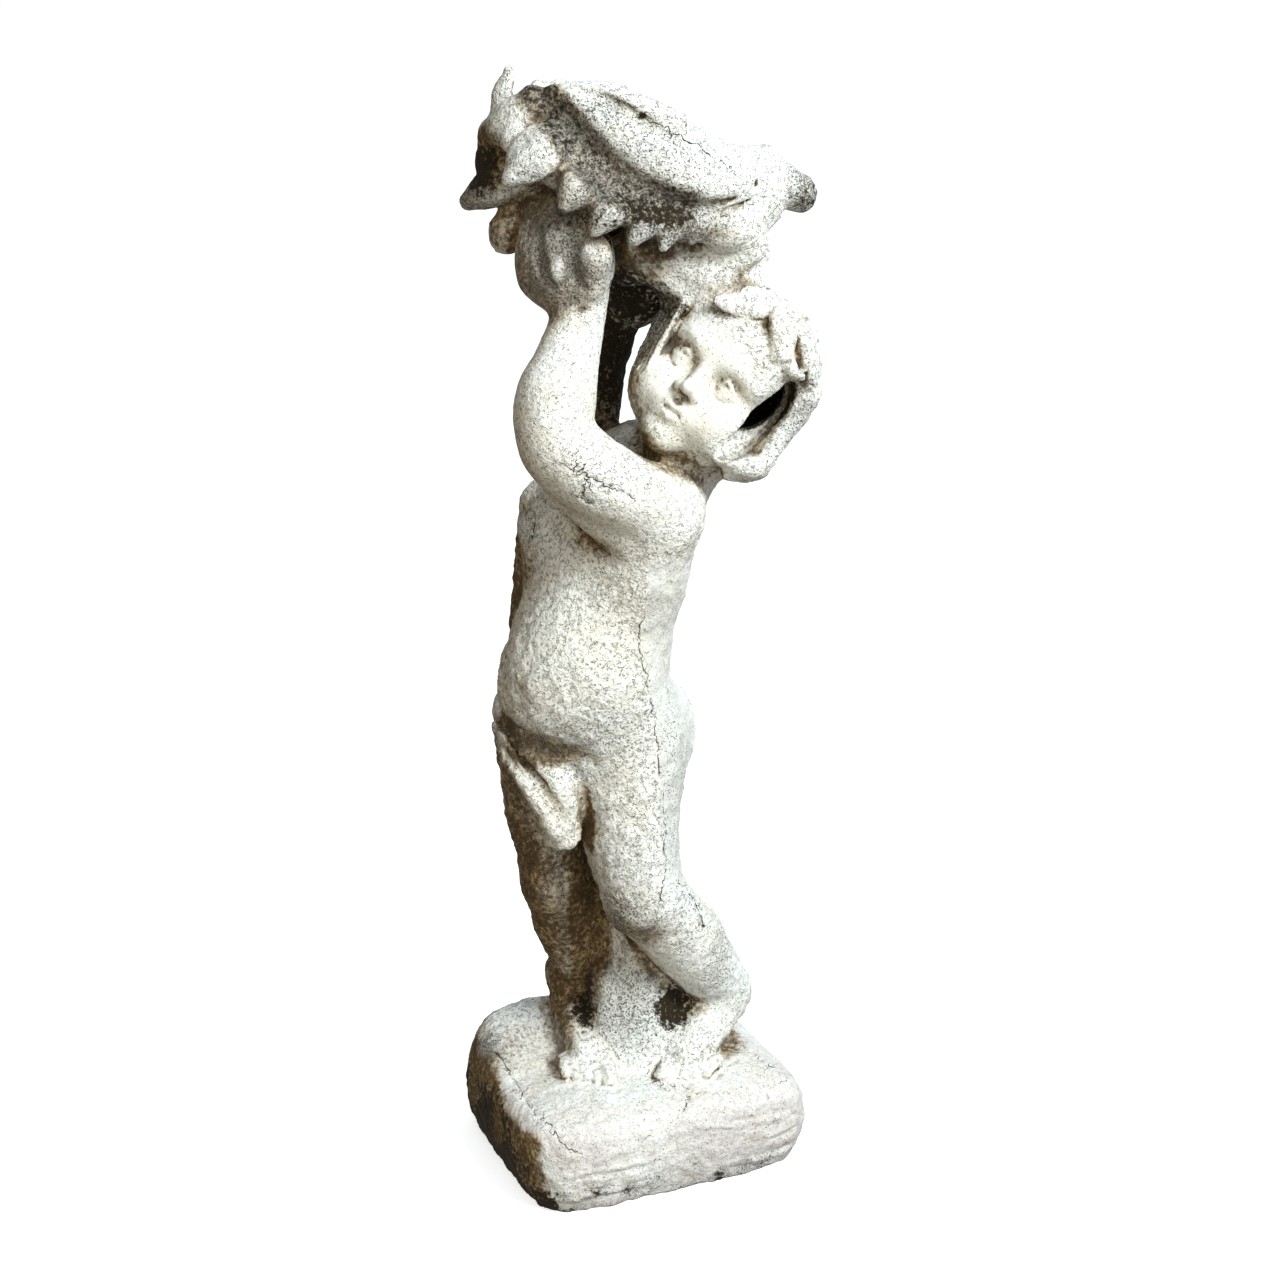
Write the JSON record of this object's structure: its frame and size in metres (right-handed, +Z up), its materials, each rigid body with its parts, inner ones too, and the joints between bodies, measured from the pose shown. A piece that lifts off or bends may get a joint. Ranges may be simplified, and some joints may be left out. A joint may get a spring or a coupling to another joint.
{
  "type": "cherub statue",
  "caption": "Standing child figure on a low worn block, arms raised to carry a scallop-shell bowl; one weathered cement casting.",
  "frame": {"origin": "centre of the block's flat underside, at ground level", "axes": "+Z up, along the statue's height; the block's long side runs along X and its front faces -Y; the figure is turned 24 degrees on its block, toward -X"},
  "size_m": [0.2049, 0.1633, 0.6583],
  "materials": {
    "cement": "rough weathered cast cement, cream white with grey pits, brown stains in the hollows"
  },
  "bodies": {
    "root": {"cherub_statue": "cement"}
  },
  "joints": []
}
